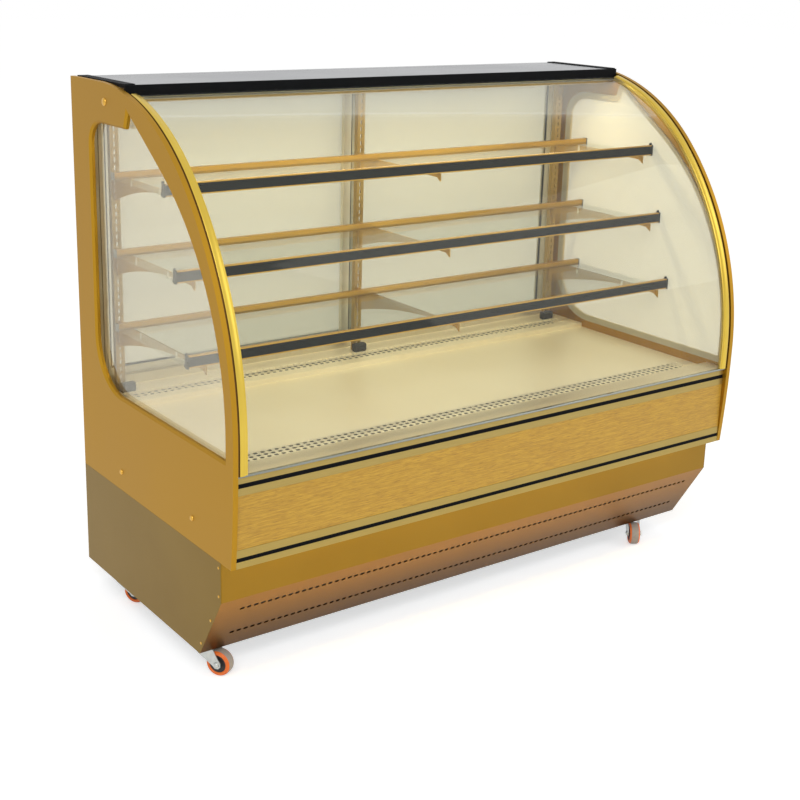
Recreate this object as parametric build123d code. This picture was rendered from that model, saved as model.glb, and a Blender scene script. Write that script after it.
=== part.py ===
from build123d import *
import math
import os

# Refrigerated counter display case with a curved front glass, on four swivel casters.
# Pieces are drawn with x = 0 at mid length, y = 0 on the flat front face and z = 0 on the floor.
# save() then slides each one forward, so that the case is centred over the origin.

# Overall sizes
case_length = 1500.0
case_depth = 734.0
case_height = 1268.0
front_bulge = 12.0
base_clearance = 66.0
base_height = 254.0
centre_shift = (front_bulge - case_depth) / 2
half_length = case_length / 2
seam_z = base_clearance + base_height

# Clearances
face_gap = 0.3
pin_gap = 0.05
panel_gap = 0.5

# Side outline of the front: a shallow belly, a long sweep and a tighter crown
belly_height = 266.0
sweep_ratio = 1.1
sweep_share = 0.75
belly_z = seam_z + belly_height
curve_height = case_height - belly_z
sweep_radius = sweep_ratio * curve_height
belly_radius = (belly_height**2 + front_bulge**2) / (2 * front_bulge)
turn = math.asin(sweep_share / sweep_ratio)
sweep_top_z = belly_z + sweep_radius * math.sin(turn)
crown_radius = (case_height - sweep_top_z) / (1 - math.sin(turn))
belly_centre = (belly_radius - front_bulge, belly_z)
sweep_centre = (sweep_radius - front_bulge, belly_z)
crown_centre = (
    sweep_centre[0] - (sweep_radius - crown_radius) * math.cos(turn),
    sweep_centre[1] + (sweep_radius - crown_radius) * math.sin(turn),
)

# End panels and their windows
end_thickness = 12.0
window_front = 24.0
window_bottom = seam_z + 231.0
window_straight = 47.0
window_sweep_radius = sweep_radius - 131.0
window_sweep_share = 0.8226
window_peak_drop = 54.4
window_step = 38.0
window_step_run = 14.0
window_rear = case_depth - 94.0
window_top_radius = 55.0
window_sweep_corner = 125.0
window_bevel = 5.0
side_glass_thickness = 5.0
side_glass_lap = 14.0

# Front glass and its frame
glass_inset = 4.0
front_glass_thickness = 6.0
edge_profile_width = 24.0
edge_profile_depth = 14.0
edge_profile_inset = 0.6
head_rail_share = 0.2417
head_rail_front = crown_centre[0] - head_rail_share * crown_radius
head_rail_depth = 40.0
head_rail_height = 30.0
head_rail_notch = 12.0
head_rail_pocket = 16.0

# Top
top_front = head_rail_front + 18.0
top_thickness = 6.0
top_rear_margin = 10.0
top_profile_height = 25.0
top_profile_thickness = 6.0
end_strip_width = 26.0
end_strip_rise = 2.0

# Front face, from the sill down
sill_top = seam_z + 207.0
sill_height = 46.0
sill_depth = 58.0
sill_groove_top = 19.4
sill_groove = 10.0
groove_depth = 2.0
wood_height = 119.0
wood_thickness = 16.0
lower_rail_groove_top = 18.0
lower_rail_groove = 9.0
lower_rail_depth = 22.0
lower_rail_lip = 6.0
strip_gap = 0.1
light_width = 12.0
light_height = 8.0
light_end_gap = 20.0

# Insulated well and deck
well_wall = 34.0
well_front_wall = 44.0
well_floor = 30.0
well_front = lower_rail_depth + face_gap
well_rear_margin = 12.0
well_rear = case_depth - well_rear_margin
well_rim_drop = 6.0
deck_thickness = 1.2
deck_drop = 9.0
deck_front_run = 96.0
deck_rear_start = case_depth - 194.0
deck_rear_run = 92.0
deck_step = 10.0
slot_length = 120.0
slot_width = 4.0
slot_pitch = 150.0
slot_row_pitch = 15.0
slot_rows = 3
grille_thickness = 1.5
grille_end_margin = 24.0
rear_end_margin = 60.0
rear_grille_lap = 20.0
grille_seat = 12.0
grille_rear_trim = 14.0

# Shelves: front rail depth, underside height above the seam, and glass reach
shelf_fronts = (307.0, 261.0, 214.0)
shelf_shares = (0.7711, 0.584, 0.3994)
shelf_heights = tuple(share * (case_height - seam_z) for share in shelf_shares)
shelf_end_gap = 5.0
shelf_half_length = half_length - end_thickness - side_glass_thickness - shelf_end_gap
upright_y = case_depth - 94.0
shelf_rear = upright_y - 80.0
shelf_rail_height = 26.6
shelf_rail_depth = 9.0
shelf_rail_lip = 2.6
shelf_strip_depth = 1.6
rear_rail_height = 16.0
rear_rail_depth = 12.0
shelf_glass_thickness = 6.0
upright_x = shelf_half_length - 38.0
upright_width = 22.0
upright_depth = 14.0
upright_wall = 1.6
upright_slot_width = 5.0
upright_slot_height = 14.0
hook_drop = 8.0
hook_pitch = 30.0
bracket_thickness = 3.0
bracket_root_height = 62.0
bracket_tip_height = 11.0
bracket_nose = 6.0
bracket_nose_drop = 9.0
bracket_belly_share = 0.55
bracket_belly_drop = 10.0
hook_length = 8.0
hook_height = 10.0
socket_width = 34.0
socket_height = 22.0
socket_depth = 20.0
socket_chamfer = 4.0
socket_shift = 12.0

# Sliding doors at the rear
jamb_width = 34.0
door_frame_depth = 44.0
head_track_height = 30.0
sill_track_height = 24.0
track_channel = 14.0
track_rib = 3.0
track_lip = 8.0
door_thickness = 12.0
door_lap = 46.0
door_stile = 22.0
door_rail = 24.0
door_glass_thickness = 4.0
door_glass_lap = 6.0
door_side_gap = 1.0
door_foot_gap = 0.3
door_head_gap = 2.0
grip_width = 10.0
grip_height = 120.0
grip_depth = 5.0

# Base cabinet
sheet = 1.5
base_front = 45.0
base_kink_drop = 93.0
base_foot_run = 97.7
base_lip = 6.0
base_slot_length = 30.5
base_slot_width = 4.0
base_slot_pitch = 35.0
base_slot_first_row = 44.0
base_slot_second_row = 134.0
base_slot_margin = 62.0
floor_pan_rise = 14.0
frame_tube = 25.0
louvre_rows = 9
louvre_length = 380.0
louvre_height = 6.0
louvre_pitch = 18.0
louvre_first_row = 62.0
louvre_centre_gap = 40.0

# Casters
wheel_radius = 30.0
wheel_width = 28.0
axle_radius = 4.0
caster_trail = 30.0
fork_sheet = 2.5
fork_side_gap = 1.0
fork_top_gap = 2.0
king_pin_radius = 6.0
king_pin_drop = 1.5
race_radius = 20.0
race_sides = 16
crown_reach = 20.0
crown_rear = 18.0
cheek_radius = 10.0
cheek_root = 12.0
bolt_head_radius = 6.5
bolt_head_height = 5.0
caster_plate_thickness = 3.0
caster_plate_side = 60.0
caster_inset_left = 36.0
caster_inset_right = 130.0
caster_front_y = 170.0
caster_rear_y = case_depth - 142.0
caster_headings = {"front_left": 31.0, "front_right": 324.0, "rear_left": 31.0, "rear_right": 70.0}

# Cooling set in the base and the well
compressor_radius = 62.0
compressor_height = 150.0
compressor_x = 330.0
compressor_y = case_depth - 174.0
compressor_foot = 8.0
foot_plate_length = 150.0
foot_plate_width = 110.0
foot_plate_thickness = 3.0
foot_x = 62.0
foot_y_reach = 42.0
foot_side = 18.0
terminal_box = (44.0, 18.0, 56.0)
terminal_box_rise = 50.0
condenser_x = -60.0
condenser_front = 330.0
condenser_width = 250.0
condenser_height = 190.0
condenser_depth = 60.0
condenser_fins = 9
fin_thickness = 1.0
tube_radius = 4.5
condenser_tube_rows = 2
coil_tube_reach = 8.0
shroud_depth = 30.0
fan_radius = 78.0
fan_ring_gap = 4.0
fan_hub_radius = 18.0
fan_depth = 18.0
blade_count = 5
blade_thickness = 1.6
blade_pitch = 28.0
blade_root = 4.0
blade_chord = 1.5
motor_radius = 24.0
motor_length = 38.0
motor_sides = 12
mouth_sides = 24
arm_width = 24.0
arm_thickness = 3.0
shaft_front = 4.0
shaft_radius = 3.0
evaporator_length = 900.0
evaporator_depth = 110.0
evaporator_height = 90.0
evaporator_fins = 9
evaporator_tube_rows = 2
evaporator_y = 420.0
evaporator_fan_x = -560.0
evaporator_fan_radius = 55.0
evaporator_fan_gap = 30.0
evaporator_coil_gap = 90.0
evaporator_fan_rise = 10.0
fan_plate_margin = 8.0
fan_plate_rise = 20.0
small_motor_radius = 20.0
small_motor_length = 30.0
small_shaft_length = 20.0
small_hub_radius = 14.0
small_fan_depth = 14.0
drain_tray_length = 360.0
drain_tray_width = 240.0
drain_tray_height = 34.0
drain_tray_x = -430.0
drain_tray_y = case_depth - 194.0
tray_wall = 1.5
control_box_length = 150.0
control_box_height = 76.0
control_box_depth = 60.0
control_box_x = 190.0 - half_length
control_box_top_drop = 28.0
switch_width = 14.0
switch_height = 21.0
switch_gap = 0.4
switch_seat = 12.0
rocker_depth = 9.0
rocker_root = 3.0
rocker_tip_drop = 1.5
switch_x = (28.0, 52.0)
gland_radius = 9.0
gland_length = 14.0
gland_drop = 200.0
gland_sides = 12
gland_x = 110.0 - half_length

# Fasteners on the end panels: depth, height above the seam and radius
bolt_places = ((554.0, 905.6, 10.0), (522.0, 46.4, 7.0), (170.0, 56.9, 7.0))
bolt_dome = 4.0
bolt_sides = 16
bolt_taper = 40.0


def at(y, z, x=0.0):
    """A point of the side view, seen along the length of the case."""
    return Vector(x, y, z)


def block(x0, x1, y0, y1, z0, z1):
    """A straight block between two opposite corners."""
    centre = ((x0 + x1) / 2, (y0 + y1) / 2, (z0 + z1) / 2)
    return Pos(*centre) * Box(x1 - x0, y1 - y0, z1 - z0)


def prism(edges, x0, x1):
    """A side view outline drawn out along the length of the case."""
    face = Face(Wire(edges))
    return Pos(x0, 0, 0) * extrude(face, amount=x1 - x0, dir=(1, 0, 0))


def closed(points, x0, x1):
    """A straight sided side view outline drawn out along the length."""
    edges = [Line(at(*a), at(*b)) for a, b in zip(points, points[1:] + points[:1])]
    return prism(edges, x0, x1)


def around(centre, radius, angle):
    """A point on an arc of the front, its angle counted up from straight ahead."""
    return (centre[0] - radius * math.cos(angle), centre[1] + radius * math.sin(angle))


def front_arcs(inset, start_z, end_y):
    """The front outline moved inwards: edges from start_z up and over to end_y, and both ends."""
    radius = belly_radius - inset
    spans = []
    if start_z < belly_z:
        low = math.asin((start_z - belly_z) / radius)
        spans.append((belly_centre, radius, low, 0.0))
        low = 0.0
    else:
        low = math.asin((start_z - belly_z) / (sweep_radius - inset))
    spans.append((sweep_centre, sweep_radius - inset, low, turn))
    high = math.acos((crown_centre[0] - end_y) / (crown_radius - inset))
    spans.append((crown_centre, crown_radius - inset, turn, high))
    edges = []
    for centre, size, a, b in spans:
        points = [at(*around(centre, size, angle)) for angle in (a, (a + b) / 2, b)]
        edges.append(ThreePointArc(*points))
    first = around(spans[0][0], spans[0][1], spans[0][2])
    last = around(spans[-1][0], spans[-1][1], spans[-1][3])
    return edges, first, last


def front_band(inset, thickness, start_z, end_y, x0, x1):
    """A strip of even thickness that follows the front outline."""
    outer, outer_low, outer_high = front_arcs(inset, start_z, end_y)
    inner, inner_low, inner_high = front_arcs(inset + thickness, start_z, end_y)
    sides = [Line(at(*outer_low), at(*inner_low)), Line(at(*outer_high), at(*inner_high))]
    return prism(outer + inner + sides, x0, x1)


def window_edges(margin):
    """Closed outline of the end window, grown outwards by a margin."""
    rise = window_bottom + window_straight
    peak = case_height - window_peak_drop - rise
    centre = (window_front + window_sweep_radius, rise)
    radius = window_sweep_radius + margin
    swept = math.asin(window_sweep_share * peak / window_sweep_radius)
    slope = (math.sin(swept), math.cos(swept))
    front = window_front - margin
    rear = window_rear + margin
    bottom = window_bottom - margin
    p_front = around(centre, radius, swept)
    run = (1 - window_sweep_share) * peak / math.cos(swept) + margin
    p_peak = (p_front[0] + run * slope[0], p_front[1] + run * slope[1])
    p_step = (p_peak[0] + window_step_run, p_peak[1] - window_step)
    top = p_step[1]
    corner = window_top_radius + margin
    foot = window_sweep_corner + margin
    low_mid = (rear - foot * (1 - math.sqrt(0.5)), bottom + foot * (1 - math.sqrt(0.5)))
    top_mid = (rear - corner * (1 - math.sqrt(0.5)), top - corner * (1 - math.sqrt(0.5)))
    return [
        Line(at(front, bottom), at(front, rise)),
        ThreePointArc(at(front, rise), at(*around(centre, radius, swept / 2)), at(*p_front)),
        Line(at(*p_front), at(*p_peak)),
        Line(at(*p_peak), at(*p_step)),
        Line(at(*p_step), at(rear - corner, top)),
        ThreePointArc(at(rear - corner, top), at(*top_mid), at(rear, top - corner)),
        Line(at(rear, top - corner), at(rear, bottom + foot)),
        ThreePointArc(at(rear, bottom + foot), at(*low_mid), at(rear - foot, bottom)),
        Line(at(rear - foot, bottom), at(front, bottom)),
    ]


def mirrored(shape):
    """The same piece at the other end of the case."""
    return mirror(shape, about=Plane.YZ)


def end_panel():
    """Left end panel: one thick plate with the curved front and the bevelled window."""
    arcs, low, high = front_arcs(0.0, seam_z + face_gap, crown_centre[0])
    sides = [
        Line(at(*high), at(case_depth, case_height)),
        Line(at(case_depth, case_height), at(case_depth, low[1])),
        Line(at(case_depth, low[1]), at(*low)),
    ]
    plate = prism(arcs + sides, -half_length, -half_length + end_thickness)
    plate -= prism(window_edges(0.0), -half_length - 1, -half_length + end_thickness + 1)
    rim = plate.faces().sort_by(Axis.X)[0].inner_wires()[0].edges()
    return chamfer(rim, window_bevel)


def side_glass():
    """Pane held against the inner face of the left end panel, a little larger than the window."""
    inner = -half_length + end_thickness
    return prism(window_edges(side_glass_lap), inner, inner + side_glass_thickness)


inner_x = half_length - end_thickness
between = inner_x - panel_gap


def edge_profile():
    """Curved bright profile that frames the left edge of the front glass."""
    start_z = sill_top + face_gap
    x0 = -between
    x1 = x0 + edge_profile_width
    return front_band(edge_profile_inset, edge_profile_depth, start_z, head_rail_front, x0, x1)


def front_glass():
    """Bent pane between the two edge profiles, from the sill up to the head rail."""
    half = between - edge_profile_width
    start_z = sill_top + face_gap
    return front_band(glass_inset, front_glass_thickness, start_z, head_rail_front, -half, half)


def head_rail():
    """Extruded rail that holds the upper edge of the bent glass, with a pocket for the lamp."""
    _, _, high = front_arcs(0.0, sill_top, head_rail_front)
    top = case_height - top_thickness - face_gap
    bottom = top - head_rail_height
    y0 = head_rail_front + glass_inset
    y1 = y0 + head_rail_depth
    rail = block(-between, between, y0, y1, bottom, top)
    notch_rear = top_front + top_profile_thickness + face_gap
    rail -= block(-between - 1, between + 1, y0 - 1, notch_rear, high[1] - head_rail_notch, top + 1)
    pocket_y = y0 + head_rail_pocket
    rail -= block(-between - 1, between + 1, pocket_y, pocket_y + light_width,
                  bottom - 1, bottom + light_height)
    return rail


def led_strips():
    """Lamp in the head rail and the low one behind the bottom lip of the front."""
    top = case_height - top_thickness - face_gap
    bottom = top - head_rail_height
    pocket_y = head_rail_front + glass_inset + head_rail_pocket
    half = between - light_end_gap
    upper = block(-half, half, pocket_y, pocket_y + light_width, bottom + 1, bottom + light_height)
    y0 = lower_rail_lip
    z0 = seam_z + 2 * face_gap
    lower = block(-half, half, y0, y0 + light_width, z0, z0 + light_height)
    return [upper, lower]


def top_panel():
    """Flat glass top between the two end strips."""
    half = between - end_strip_width - face_gap
    return block(-half, half, top_front + top_profile_thickness, case_depth - top_rear_margin,
                 case_height - top_thickness, case_height)


def top_profile():
    """Dark angle along the front of the top, and the raised strips beside its two ends."""
    bar = block(-between, between, top_front, top_front + top_profile_thickness,
                case_height - top_profile_height, case_height)
    y0 = top_front + top_profile_thickness
    strip = block(-between, -between + end_strip_width, y0, case_depth - top_rear_margin,
                  case_height - top_thickness, case_height + end_strip_rise)
    return [bar, strip, mirrored(strip)]


def front_sill():
    """Sill extrusion under the glass: face, groove for the dark strip and a ledge to the deck."""
    low = sill_top - sill_height
    groove_top = sill_top - sill_groove_top
    groove_low = groove_top - sill_groove
    ledge = 6.0
    web = 8.0
    points = [(0, low), (0, groove_low), (groove_depth, groove_low), (groove_depth, groove_top),
              (0, groove_top), (0, sill_top), (sill_depth, sill_top), (sill_depth, sill_top - ledge),
              (web, sill_top - ledge), (web, low)]
    return closed(points, -between, between)


def lower_rail():
    """Extrusion under the wood panel, with a groove for the lower dark strip."""
    top = sill_top - sill_height - wood_height
    groove_top = top - lower_rail_groove_top
    groove_low = groove_top - lower_rail_groove
    low = seam_z + face_gap
    lip = lower_rail_lip
    points = [(0, low), (0, groove_low), (groove_depth, groove_low), (groove_depth, groove_top),
              (0, groove_top), (0, top), (lower_rail_depth, top), (lower_rail_depth, top - lip),
              (lip, top - lip), (lip, low)]
    return closed(points, -between, between)


def front_strips():
    """The two dark strips pressed into the grooves of the front."""
    strips = []
    groove_top = sill_top - sill_groove_top
    lower_top = sill_top - sill_height - wood_height - lower_rail_groove_top
    for top, height in ((groove_top, sill_groove), (lower_top, lower_rail_groove)):
        z0 = top - height + strip_gap
        strips.append(block(-between + 1, between - 1, 0.4, groove_depth, z0, top - strip_gap))
    return strips


def wood_panel():
    """Board between the sill and the lower rail."""
    top = sill_top - sill_height
    return block(-between, between, 1.0, 1.0 + wood_thickness, top - wood_height, top)


def insulated_well():
    """Foam filled tub that carries the deck and holds the evaporator."""
    top = sill_top - well_rim_drop - deck_drop
    outer = block(-between, between, well_front, well_rear, seam_z + face_gap, top)
    half = between - well_wall
    inner = block(-half, half, well_front + well_front_wall, well_rear - well_wall,
                  seam_z + well_floor, top + 1)
    return outer - inner


deck_z = sill_top - well_rim_drop - deck_drop
deck_front = sill_depth + face_gap
deck_rear = deck_rear_start + deck_rear_run
ledge_z = deck_z + 2 * deck_thickness + deck_step


def deck_pan():
    """Stainless display deck, with a raised ledge at the rear and openings under both grilles."""
    top = deck_z + deck_thickness
    floor = block(-between, between, deck_front, deck_rear_start, deck_z, top)
    riser = block(-between, between, deck_rear_start - deck_thickness, deck_rear_start, top, top + deck_step)
    ledge = block(-between, between, deck_rear_start - deck_thickness, well_rear, top + deck_step,
                  top + deck_step + deck_thickness)
    inner = between - rear_end_margin
    front_hole = block(-inner, inner, deck_front + grille_seat, deck_front + deck_front_run - grille_seat,
                       deck_z - 1, top + 1)
    rear_hole = block(-inner, inner, deck_rear_start + grille_seat, deck_rear - grille_rear_trim - grille_seat,
                      top, top + deck_step + 3)
    return floor + riser + ledge - front_hole - rear_hole


def air_grille(y0, y1, z, margin):
    """Flat plate with rows of short slots."""
    half = between - margin
    plate = block(-half, half, y0, y1, z, z + grille_thickness)
    count = int((2 * half - 2 * slot_pitch) // slot_pitch) + 1
    rows = [(y0 + y1) / 2 + (i - (slot_rows - 1) / 2) * slot_row_pitch for i in range(slot_rows)]
    face = Rectangle(slot_length, slot_width)
    cutters = []
    for y in rows:
        for i in range(count):
            x = (i - (count - 1) / 2) * slot_pitch
            cutters.append(extrude(Pos(x, y, z - 1) * face, grille_thickness + 2))
    return plate - cutters


def uprights():
    """Three slotted channels that stand on the deck ledge and carry the shelf brackets."""
    z0 = ledge_z
    z1 = case_height - top_thickness
    channel = block(-upright_width / 2, upright_width / 2, upright_y, upright_y + upright_depth, z0, z1)
    channel -= block(-upright_width / 2 + upright_wall, upright_width / 2 - upright_wall,
                     upright_y + upright_wall, upright_y + upright_depth + 1, z0 - 1, z1 + 1)
    cutters = []
    for height in shelf_heights:
        top = seam_z + height - rear_rail_height
        for i in range(2):
            z = top - hook_drop - i * hook_pitch
            cutters.append(block(-upright_slot_width / 2, upright_slot_width / 2, upright_y - 1,
                                 upright_y + upright_wall + 1, z - upright_slot_height, z))
    channel -= cutters
    return [Pos(x, 0, 0) * channel for x in (-upright_x, 0.0, upright_x)]


def shelf_bracket(front, height):
    """Sheet cantilever with a curved lower edge, a hooked nose and two hooks at the upright."""
    top = seam_z + height
    low = top - bracket_root_height
    tip = top - bracket_tip_height
    nose = front - bracket_nose
    y1 = upright_y
    middle = (front + (y1 - front) * bracket_belly_share, tip - bracket_belly_drop)
    edges = [
        Line(at(nose, top - 1), at(nose, tip - bracket_nose_drop)),
        Line(at(nose, tip - bracket_nose_drop), at(front + 8, tip)),
        ThreePointArc(at(front + 8, tip), at(*middle), at(y1, low)),
        Line(at(y1, low), at(y1, top - 1)),
        Line(at(y1, top - 1), at(nose, top - 1)),
    ]
    plate = prism(edges, -bracket_thickness / 2, bracket_thickness / 2)
    hooks = []
    slot_top = top - rear_rail_height
    for i in range(2):
        z = slot_top - hook_drop - i * hook_pitch - 1
        hooks.append(block(-bracket_thickness / 2, bracket_thickness / 2, y1 - 0.5, y1 + hook_length,
                           z - hook_height, z))
    return plate + hooks


def brackets():
    pieces = []
    for front, height in zip(shelf_fronts, shelf_heights):
        bracket = shelf_bracket(front, height)
        pieces += [Pos(x, 0, 0) * bracket for x in (-upright_x, 0.0, upright_x)]
    return pieces


def shelf_front_rail(front, height):
    """Front rail of a shelf: a lipped face in front of the glass edge, on top of the brackets."""
    low = seam_z + height
    top = low + shelf_rail_height - 1
    back = front + shelf_rail_depth
    lip = shelf_rail_lip
    recess = front + shelf_strip_depth
    points = [(front, low - 1), (front, low - 1 + lip), (recess, low - 1 + lip), (recess, top - lip),
              (front, top - lip), (front, top), (back, top), (back, low - 1)]
    return closed(points, -shelf_half_length, shelf_half_length)


def shelf_rail_strip(front, height):
    """Dark insert in the face of a shelf rail."""
    low = seam_z + height - 1 + shelf_rail_lip
    top = seam_z + height + shelf_rail_height - 1 - shelf_rail_lip
    return block(-shelf_half_length + 1, shelf_half_length - 1, front + 0.3, front + shelf_strip_depth,
                 low + strip_gap, top - strip_gap)


def shelf_rear_rail(height):
    """Rear rail that caps the back edge of a shelf glass."""
    low = seam_z + height - 1
    y0 = shelf_rear
    points = [(y0, low), (y0, low + rear_rail_height), (y0 + rear_rail_depth, low + rear_rail_height),
              (y0 + rear_rail_depth, low)]
    return closed(points, -shelf_half_length, shelf_half_length)


def shelf_glass(front, height):
    low = seam_z + height - 1
    return block(-shelf_half_length, shelf_half_length, front + shelf_rail_depth, shelf_rear,
                 low, low + shelf_glass_thickness)


def cable_sockets():
    """Plastic plug sockets for the shelf lamps, at the foot of each upright."""
    y1 = upright_y
    piece = block(-socket_width / 2, socket_width / 2, y1 - socket_depth, y1, ledge_z, ledge_z + socket_height)
    piece = chamfer(piece.edges().filter_by(Axis.X), socket_chamfer)
    end_x = upright_x - socket_shift
    return [Pos(x, 0, 0) * piece for x in (-end_x, 0.0, end_x)]


door_y0 = case_depth - top_rear_margin - door_frame_depth
door_low = ledge_z
door_high = case_height - top_thickness


def channel_y(index):
    """Front side of the inner (0) or outer (1) running channel of the door tracks."""
    return door_y0 + track_rib + index * (track_channel + track_rib)


def door_frame():
    """Extruded frame of the rear opening: jambs, head track and sill track with two channels."""
    y1 = door_y0 + 3 * track_rib + 2 * track_channel
    frame = block(-between, between, door_y0, y1, door_low, door_high)
    clear = between - jamb_width
    frame -= block(-clear, clear, door_y0 - 1, y1 + 1, door_low + sill_track_height,
                   door_high - head_track_height)
    for index in range(2):
        y = channel_y(index)
        frame -= block(-clear - track_lip, clear + track_lip, y, y + track_channel,
                       door_low + sill_track_height - track_lip, door_high - head_track_height + 2 * track_lip)
    return frame


def door_box(side):
    """Corners of a door: side is -1 for the left leaf and 1 for the right one."""
    outer = between - jamb_width + track_lip - door_side_gap
    x0, x1 = (-outer, door_lap / 2) if side < 0 else (-door_lap / 2, outer)
    y = channel_y(1 if side < 0 else 0) + (track_channel - door_thickness) / 2
    z0 = door_low + sill_track_height - track_lip + door_foot_gap
    z1 = door_high - head_track_height + 2 * track_lip - door_head_gap
    return x0, x1, y, y + door_thickness, z0, z1


def door_leaf(side):
    """Aluminium frame of one sliding door, with an upright grip on its outer stile."""
    x0, x1, y0, y1, z0, z1 = door_box(side)
    leaf = block(x0, x1, y0, y1, z0, z1)
    leaf -= block(x0 + door_stile, x1 - door_stile, y0 - 1, y1 + 1, z0 + door_rail, z1 - door_rail)
    middle = (y0 + y1) / 2
    groove = door_glass_thickness / 2
    lap = door_glass_lap
    leaf -= block(x0 + door_stile - lap, x1 - door_stile + lap, middle - groove, middle + groove,
                  z0 + door_rail - lap, z1 - door_rail + lap)
    inset = (door_stile - grip_width) / 2 + track_lip / 2
    grip_x = x0 + inset if side < 0 else x1 - inset - grip_width
    grip_z = (z0 + z1) / 2 - grip_height / 2
    recess = block(grip_x, grip_x + grip_width, y1 - grip_depth, y1 + 1, grip_z, grip_z + grip_height)
    return leaf - recess


def door_glass(side):
    x0, x1, y0, y1, z0, z1 = door_box(side)
    middle = (y0 + y1) / 2
    groove = door_glass_thickness / 2
    lap = door_glass_lap
    return block(x0 + door_stile - lap, x1 - door_stile + lap, middle - groove, middle + groove,
                 z0 + door_rail - lap, z1 - door_rail + lap)


def panel_bolts():
    """Domed bolts that hold the end panels to the frame, both ends."""
    pieces = []
    for y, height, radius in bolt_places:
        dome = extrude(RegularPolygon(radius, bolt_sides), bolt_dome, taper=bolt_taper)
        pieces.append(Pos(-half_length, y, seam_z + height) * Rot(0, -90, 0) * dome)
    return pieces + [mirrored(piece) for piece in pieces]


# Heights and slopes of the base
kink_z = seam_z - base_kink_drop
slope_rise = kink_z - base_clearance
slope_length = math.hypot(slope_rise, base_foot_run)
slope_dir = (base_foot_run / slope_length, -slope_rise / slope_length)
floor_pan_z = base_clearance + floor_pan_rise
base_rear = case_depth
foot_y = base_front + base_foot_run


def base_side(gap):
    """Side outline of the base, moved inwards from the front by a gap."""
    return [(base_front + gap, seam_z), (base_front + gap, kink_z), (foot_y + gap, base_clearance)]


def base_side_panels():
    points = base_side(0.0) + [(base_rear, base_clearance), (base_rear, seam_z)]
    panel = closed(points, -half_length, -half_length + sheet)
    return [panel, mirrored(panel)]


def base_front_panel():
    """Folded front sheet: upright upper part, slotted slope and a lip turned in under the base."""
    half = half_length - sheet - face_gap
    bend = sheet / 2
    outer = [(base_front, seam_z), (base_front, kink_z), (foot_y, base_clearance),
             (foot_y + base_lip, base_clearance)]
    inner = [(foot_y + base_lip, base_clearance + sheet), (foot_y + bend, base_clearance + sheet),
             (base_front + sheet, kink_z + bend), (base_front + sheet, seam_z)]
    panel = closed(outer + inner, -half, half)
    count = int((2 * half - 2 * base_slot_margin) // base_slot_pitch) + 1
    normal = (-slope_dir[1], slope_dir[0])
    slot = Rectangle(base_slot_length, base_slot_width)
    tilt = math.degrees(math.atan2(slope_rise, base_foot_run))
    cutters = []
    for row in (base_slot_first_row, base_slot_second_row):
        y = base_front + slope_dir[0] * row
        z = kink_z + slope_dir[1] * row
        for i in range(count):
            x = (i - (count - 1) / 2) * base_slot_pitch
            cutter = extrude(Rot(180 - tilt, 0, 0) * slot, 3 * sheet, both=True)
            cutters.append(Pos(x, y, z) * cutter)
    return panel - cutters


def base_rear_grille():
    """Rear sheet of the machine space, with a field of long louvre openings."""
    half = half_length - sheet - face_gap
    plate = block(-half, half, base_rear - sheet, base_rear, base_clearance, seam_z)
    cutters = []
    reach = louvre_length / 2
    for x in (-reach - louvre_centre_gap, reach + louvre_centre_gap):
        for i in range(louvre_rows):
            z = base_clearance + louvre_first_row + i * louvre_pitch
            cutters.append(block(x - reach, x + reach, base_rear - sheet - 1, base_rear + 1,
                                 z, z + louvre_height))
    cutters += [switch_cut(x, switch_gap) for x in switch_x]
    bush = extrude(RegularPolygon(gland_radius, gland_sides), 4 * gland_length, both=True)
    cutters.append(turned(bush, gland_x, base_rear, seam_z - gland_drop))
    return plate - cutters


def floor_pan():
    """Tray that closes the base and carries the cooling set."""
    half = half_length - sheet - face_gap
    return block(-half, half, foot_y + 4, base_rear - sheet, floor_pan_z, floor_pan_z + sheet)


def base_frame():
    """Welded square tube frame: lower ring on the pan, four posts and an upper ring."""
    half = half_length - sheet - face_gap - panel_gap
    t = frame_tube
    z0 = floor_pan_z + sheet
    y0 = foot_y + 8
    y1 = base_rear - sheet - panel_gap
    top = seam_z
    pieces = []
    for z in (z0, top - t):
        pieces.append(block(-half, half, y0, y0 + t, z, z + t))
        pieces.append(block(-half, half, y1 - t, y1, z, z + t))
        pieces.append(block(-half, -half + t, y0, y1, z, z + t))
        pieces.append(block(half - t, half, y0, y1, z, z + t))
    for x in (-half, half - t):
        for y in (y0, y1 - t):
            pieces.append(block(x, x + t, y, y + t, z0, top))
        pieces.append(block(x, x + t, base_front + sheet + panel_gap, y0, top - t, top))
    frame = pieces[0]
    for piece in pieces[1:]:
        frame += piece
    return frame


def standing(shape, x, y, z):
    """A piece drawn on the floor, moved to its place."""
    return Pos(x, y, z) * shape


def slab(length, width, height):
    """A block centred in plan that stands on its own foot."""
    return Box(length, width, height, align=(Align.CENTER, Align.CENTER, Align.MIN))


def post(radius, height):
    """A round post that stands on its own foot."""
    return Cylinder(radius, height, align=(Align.CENTER, Align.CENTER, Align.MIN))


def cooling_compressor():
    """Hermetic compressor: welded shell on a foot plate with four rubber feet and a terminal box."""
    shell = post(compressor_radius, compressor_height - compressor_foot)
    plate = slab(foot_plate_length, foot_plate_width, foot_plate_thickness)
    body = Pos(0, 0, compressor_foot) * (shell + plate)
    body += Pos(0, compressor_radius, terminal_box_rise) * slab(*terminal_box)
    for x in (-foot_x, foot_x):
        for y in (-foot_y_reach, foot_y_reach):
            body += Pos(x, y, 0) * slab(foot_side, foot_side, compressor_foot + 1)
    return standing(body, compressor_x, compressor_y, floor_pan_z + sheet)


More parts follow.
